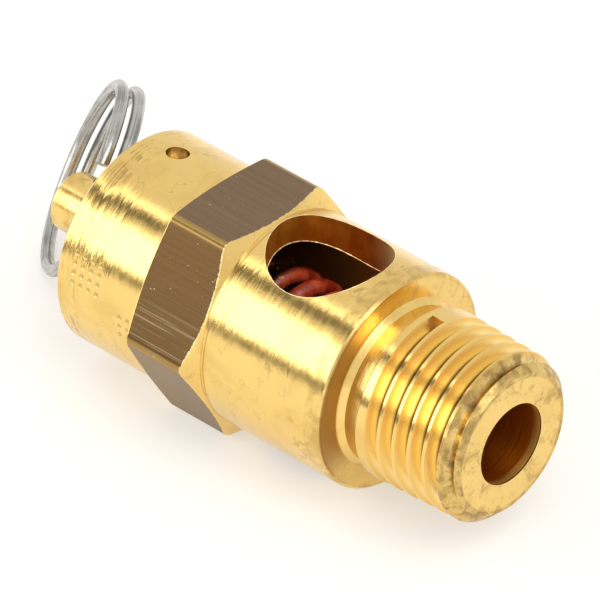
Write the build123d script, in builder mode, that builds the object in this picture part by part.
from build123d import *
from math import cos, radians, sin, tan
import os

# Pull-ring pressure relief valve, in millimetres.
# The valve lies on one flat of its hexagon. Its axis is X, with the inlet facing +X and +Z up.
# The origin is on the axis, at the centre of the inlet face. A station is a distance from
# that face towards the pull ring, so a station s is at x = -s.

# ---- body: one bar of hexagon brass, turned down on both sides of the hexagon ----
HEX_ACROSS_FLATS = 17.46
HEX_CORNER_RADIUS = 1.1
HEX_FRONT = 22.65
HEX_BACK = 29.05
HEX_FRONT_CHAMFER = 30.0
HEX_BACK_CHAMFER = 14.0
BARREL_RADIUS = 8.6
BARREL_END = 37.37
END_CHAMFER = 0.35
SHOULDER = 10.9
SHOULDER_CHAMFER = 0.2

# ---- inlet: tapered 1/4-18 pipe thread ----
THREAD_PITCH = 25.4 / 18
THREAD_TAPER = 1 / 32
THREAD_CONE_ANGLE = 1.79
CREST_RADIUS = 6.58
FACE_RADIUS = 5.65
THREAD_LEAD_IN = 0.95
THREAD_STOP = 8.9
NECK_START = 9.35
NECK_RADIUS = 6.3
NECK_FILLET = 0.45
GROOVE_DEPTH = 0.98
GROOVE_HALF_WIDTH = 0.64
GROOVE_ROOT_HALF_WIDTH = 0.06
GROOVE_OVERCUT = 0.1
GROOVE_FIRST = -0.9
GROOVE_LAST = 7.88
GROOVE_TURN = -106.0
BORE_RADIUS = 3.25

# ---- chamber, seat and discharge ports ----
CHAMBER_RADIUS = 6.35
CHAMBER_FLOOR = 12.4
SEAT_TOP = 13.4
SEAT_RIM_RADIUS = 3.7
SEAT_FOOT_RADIUS = 4.7
SEAT_CROWN = 0.15
PORT_STATION = 17.72
PORT_RADIUS = 4.72

# ---- seat disc and its holder ----
DISC_FACE = 13.42
DISC_BACK = 15.0
DISC_RADIUS = 3.9
HOLDER_LIP = 13.75
HOLDER_RADIUS = 4.4
SPRING_SEAT = 16.7
PILOT_RADIUS = 2.75
PILOT_END = 18.9
HOLDER_POCKET = 16.2
HOLDER_POCKET_RADIUS = 2.75
HOLDER_BORE_RADIUS = 1.58

# ---- stem ----
STEM_RADIUS = 2.35
STEM_SHOULDER = 19.0
STEM_END = 44.1
STEM_END_CHAMFER = 0.3
SPIGOT_RADIUS = 1.5
HEAD_RADIUS = 2.5
HEAD_BACK = 16.1
HEAD_FRONT = 15.1
CROSS_HOLE_STATION = 41.15
CROSS_HOLE_RADIUS = 1.25
CROSS_HOLE_TILT = 58.1

# ---- spring and the washer that it pushes on ----
SPRING_WIRE = 1.2
SPRING_MEAN_RADIUS = 3.5
SPRING_PITCH = 2.15
SPRING_TURN = -106.0
SPRING_END = 31.4
WASHER_THICKNESS = 1.0
WASHER_RADIUS = 6.0
WASHER_BORE_RADIUS = 2.5

# ---- adjusting screw and its lock pin ----
SCREW_BACK = 37.0
SCREW_RADIUS = 6.3
SCREW_BORE_RADIUS = 2.43
SCREW_GROOVE_PITCH = 1.0
SCREW_GROOVE_DEPTH = 0.45
SCREW_SLOT_WIDTH = 1.6
SCREW_SLOT_DEPTH = 1.3
SCREW_CHAMFER = 0.3
LOCK_STATION = 34.0
LOCK_TILT = 82.5
LOCK_RADIUS = 0.9
LOCK_PIN_TIP = 5.3
LOCK_PIN_TOP = 7.7

# ---- pull ring: round wire wound one and a half times, hung through the stem ----
RING_WIRE = 1.04
RING_MEAN_RADIUS = 7.33
RING_PITCH = 1.35
RING_TURNS_BEFORE = 0.61
RING_TURNS_AFTER = 0.92
RING_CENTRE = (-46.08, 4.48, -1.72)
RING_NORMAL = (-0.696, -0.575, 0.431)

os.makedirs("parts", exist_ok=True)


def across(station, tilt, height=0.0):
    """The plane square to a radial line, tilted from +Y towards +Z, at a height from the axis."""
    radial = Vector(0, cos(radians(tilt)), sin(radians(tilt)))
    origin = Vector(-station, 0, 0) + radial * height
    return Plane(origin=origin, x_dir=(1, 0, 0), z_dir=radial)


def turned(*outline):
    """A turned piece: its outline is a list of stations and radii, spun about the axis."""
    with BuildPart() as piece:
        with BuildSketch(Plane.XZ):
            with BuildLine():
                Polyline(*[(-station, radius) for station, radius in outline], close=True)
            make_face()
        revolve(axis=Axis.X)
    return piece


def finish(piece, label):
    """Names a finished piece and writes it."""
    piece.part.label = label
    export_step(piece.part, f"parts/{label}.step")


# ---- valve body ----
crest_at_stop = CREST_RADIUS + THREAD_STOP * THREAD_TAPER
crest_at_lead_in = CREST_RADIUS + THREAD_LEAD_IN * THREAD_TAPER
shank = turned(
    (0, 0),
    (0, FACE_RADIUS),
    (THREAD_LEAD_IN, crest_at_lead_in),
    (THREAD_STOP, crest_at_stop),
    (NECK_START, NECK_RADIUS),
    (SHOULDER - NECK_FILLET, NECK_RADIUS),
    (SHOULDER, NECK_RADIUS + NECK_FILLET),
    (SHOULDER, BARREL_RADIUS - SHOULDER_CHAMFER),
    (SHOULDER + SHOULDER_CHAMFER, BARREL_RADIUS),
    (BARREL_END - END_CHAMFER, BARREL_RADIUS),
    (BARREL_END, BARREL_RADIUS - END_CHAMFER),
    (BARREL_END, 0),
)

# The cutter of the thread starts in front of the face and ends in a notch before the neck.
start_radius = CREST_RADIUS + GROOVE_FIRST * THREAD_TAPER
groove_path = Helix(
    pitch=THREAD_PITCH,
    height=GROOVE_LAST - GROOVE_FIRST,
    radius=start_radius,
    center=(-GROOVE_FIRST, 0, 0),
    direction=(-1, 0, 0),
    cone_angle=THREAD_CONE_ANGLE,
)
groove_start = groove_path @ 0
groove_plane = Plane(
    origin=groove_start,
    x_dir=Vector(0, groove_start.Y, groove_start.Z),
    z_dir=groove_path % 0,
)
with BuildPart() as groove:
    with BuildSketch(groove_plane):
        with BuildLine():
            Polyline(
                (GROOVE_OVERCUT, -GROOVE_HALF_WIDTH),
                (GROOVE_OVERCUT, GROOVE_HALF_WIDTH),
                (-GROOVE_DEPTH, GROOVE_ROOT_HALF_WIDTH),
                (-GROOVE_DEPTH, -GROOVE_ROOT_HALF_WIDTH),
                close=True,
            )
        make_face()
    sweep(path=groove_path, is_frenet=True)

# The ends of the hexagon are turned to shallow cones.
hex_corner = HEX_ACROSS_FLATS / 2 / cos(radians(30))
front_rise = (hex_corner - BARREL_RADIUS) * tan(radians(HEX_FRONT_CHAMFER))
back_rise = (hex_corner - BARREL_RADIUS) * tan(radians(HEX_BACK_CHAMFER))
hex_envelope = turned(
    (HEX_FRONT, 0),
    (HEX_FRONT, BARREL_RADIUS),
    (HEX_FRONT + front_rise, hex_corner),
    (HEX_BACK - back_rise, hex_corner),
    (HEX_BACK, BARREL_RADIUS),
    (HEX_BACK, 0),
)
with BuildPart() as hexagon:
    with BuildSketch(Plane.YZ.offset(-HEX_BACK)) as hex_outline:
        RegularPolygon(HEX_ACROSS_FLATS / 2, 6, major_radius=False)
        fillet(hex_outline.vertices(), HEX_CORNER_RADIUS)
    extrude(amount=HEX_BACK - HEX_FRONT)
    add(hex_envelope.part, mode=Mode.INTERSECT)

# The inside: inlet bore, raised seat with a crowned rim, and the spring chamber.
cavity = turned(
    (-1, 0),
    (-1, BORE_RADIUS),
    (SEAT_TOP - SEAT_CROWN, BORE_RADIUS),
    (SEAT_TOP, BORE_RADIUS + SEAT_CROWN),
    (SEAT_TOP, SEAT_RIM_RADIUS),
    (CHAMBER_FLOOR, SEAT_FOOT_RADIUS),
    (CHAMBER_FLOOR, CHAMBER_RADIUS),
    (BARREL_END + 1, CHAMBER_RADIUS),
    (BARREL_END + 1, 0),
)
with BuildPart() as valve_body:
    add(shank.part)
    add(groove.part.rotate(Axis.X, GROOVE_TURN), mode=Mode.SUBTRACT)
    add(hexagon.part)
    add(cavity.part, mode=Mode.SUBTRACT)
    with BuildSketch(across(PORT_STATION, 90)):
        Circle(PORT_RADIUS)
    extrude(amount=hex_corner, both=True, mode=Mode.SUBTRACT)
    with BuildSketch(across(LOCK_STATION, LOCK_TILT)):
        Circle(LOCK_RADIUS)
    extrude(amount=hex_corner, mode=Mode.SUBTRACT)
finish(valve_body, "valve_body")

# ---- seat disc, pressed into the holder's lip ----
seat_disc = turned(
    (DISC_FACE, 0),
    (DISC_FACE, DISC_RADIUS - 0.2),
    (DISC_FACE + 0.2, DISC_RADIUS),
    (DISC_BACK, DISC_RADIUS),
    (DISC_BACK, 0),
)
finish(seat_disc, "seat_disc")

# ---- disc holder ----
disc_holder = turned(
    (HOLDER_LIP, DISC_RADIUS),
    (HOLDER_LIP, HOLDER_RADIUS - 0.2),
    (HOLDER_LIP + 0.3, HOLDER_RADIUS),
    (SPRING_SEAT, HOLDER_RADIUS),
    (SPRING_SEAT, PILOT_RADIUS),
    (PILOT_END - 0.4, PILOT_RADIUS),
    (PILOT_END, PILOT_RADIUS - 0.4),
    (PILOT_END, HOLDER_BORE_RADIUS),
    (HOLDER_POCKET, HOLDER_BORE_RADIUS),
    (HOLDER_POCKET, HOLDER_POCKET_RADIUS),
    (DISC_BACK, HOLDER_POCKET_RADIUS),
    (DISC_BACK, DISC_RADIUS),
)
finish(disc_holder, "disc_holder")

# ---- stem: its spigot turns freely in the holder, kept there by a peened head ----
stem_blank = turned(
    (HEAD_FRONT, 0),
    (HEAD_FRONT, HEAD_RADIUS - 0.5),
    (HEAD_FRONT + 0.4, HEAD_RADIUS),
    (HEAD_BACK, HEAD_RADIUS),
    (HEAD_BACK, SPIGOT_RADIUS),
    (STEM_SHOULDER, SPIGOT_RADIUS),
    (STEM_SHOULDER, STEM_RADIUS),
    (STEM_END - STEM_END_CHAMFER, STEM_RADIUS),
    (STEM_END, STEM_RADIUS - STEM_END_CHAMFER),
    (STEM_END, 0),
)
with BuildPart() as stem:
    add(stem_blank.part)
    with BuildSketch(across(CROSS_HOLE_STATION, CROSS_HOLE_TILT)):
        Circle(CROSS_HOLE_RADIUS)
    extrude(amount=2 * STEM_RADIUS, both=True, mode=Mode.SUBTRACT)
finish(stem, "stem")

# ---- spring: wound on past both ends, then ground flat ----
spring_path = Helix(
    pitch=SPRING_PITCH,
    height=SPRING_END - SPRING_SEAT + 0.6 * SPRING_WIRE,
    radius=SPRING_MEAN_RADIUS,
    center=(-SPRING_SEAT + 0.3 * SPRING_WIRE, 0, 0),
    direction=(-1, 0, 0),
    lefthand=True,
).rotate(Axis.X, SPRING_TURN)
spring_stock = turned(
    (SPRING_SEAT, 0),
    (SPRING_SEAT, CHAMBER_RADIUS),
    (SPRING_END, CHAMBER_RADIUS),
    (SPRING_END, 0),
)
with BuildPart() as spring:
    with BuildSketch(Plane(origin=spring_path @ 0, z_dir=spring_path % 0)):
        Circle(SPRING_WIRE / 2)
    sweep(path=spring_path, is_frenet=True)
    add(spring_stock.part, mode=Mode.INTERSECT)
finish(spring, "spring")

# ---- spring washer ----
screw_front = SPRING_END + WASHER_THICKNESS
spring_washer = turned(
    (SPRING_END, WASHER_BORE_RADIUS),
    (SPRING_END, WASHER_RADIUS),
    (screw_front, WASHER_RADIUS),
    (screw_front, WASHER_BORE_RADIUS),
)
finish(spring_washer, "spring_washer")

# ---- lock pin, driven in through the wall of the barrel ----
with BuildPart() as lock_pin:
    with BuildSketch(across(LOCK_STATION, LOCK_TILT, LOCK_PIN_TIP)):
        Circle(LOCK_RADIUS)
    extrude(amount=LOCK_PIN_TOP - LOCK_PIN_TIP)
    chamfer(lock_pin.edges().group_by(Axis.Z)[-1], 0.2)
finish(lock_pin, "lock_pin")

# ---- adjusting screw ----
groove_count = int((SCREW_BACK - screw_front - 2 * SCREW_CHAMFER) / SCREW_GROOVE_PITCH)
screw_outline = [(screw_front, SCREW_BORE_RADIUS), (screw_front, SCREW_RADIUS)]
for index in range(groove_count):
    groove_station = screw_front + SCREW_CHAMFER + index * SCREW_GROOVE_PITCH
    screw_outline.append((groove_station, SCREW_RADIUS))
    screw_outline.append((groove_station + SCREW_GROOVE_DEPTH, SCREW_RADIUS - SCREW_GROOVE_DEPTH))
    screw_outline.append((groove_station + 2 * SCREW_GROOVE_DEPTH, SCREW_RADIUS))
screw_outline.append((SCREW_BACK - SCREW_CHAMFER, SCREW_RADIUS))
screw_outline.append((SCREW_BACK, SCREW_RADIUS - SCREW_CHAMFER))
screw_outline.append((SCREW_BACK, SCREW_BORE_RADIUS))
screw_blank = turned(*screw_outline)
with BuildPart() as adjusting_screw:
    add(screw_blank.part)
    with BuildSketch(Plane.YZ.offset(-SCREW_BACK)):
        Rectangle(2 * SCREW_RADIUS + 1, SCREW_SLOT_WIDTH)
    extrude(amount=SCREW_SLOT_DEPTH, mode=Mode.SUBTRACT)
    add(lock_pin.part, mode=Mode.SUBTRACT)
finish(adjusting_screw, "adjusting_screw")

# ---- pull ring ----
ring_axis = Vector(*RING_NORMAL).normalized()
to_hole = Vector(-CROSS_HOLE_STATION, 0, 0) - Vector(*RING_CENTRE)
to_hole = (to_hole - ring_axis * to_hole.dot(ring_axis)).normalized()
ring_start = to_hole.rotate(Axis((0, 0, 0), ring_axis), 360 * RING_TURNS_BEFORE)
ring_origin = Vector(*RING_CENTRE) - ring_axis * (RING_PITCH * RING_TURNS_BEFORE)
ring_height = RING_PITCH * (RING_TURNS_BEFORE + RING_TURNS_AFTER)
ring_plane = Plane(origin=ring_origin, x_dir=ring_start, z_dir=ring_axis)
ring_path = ring_plane * Helix(RING_PITCH, ring_height, RING_MEAN_RADIUS, lefthand=True)
with BuildPart() as pull_ring:
    with BuildSketch(Plane(origin=ring_path @ 0, z_dir=ring_path % 0)):
        Circle(RING_WIRE / 2)
    sweep(path=ring_path, is_frenet=True)
finish(pull_ring, "pull_ring")
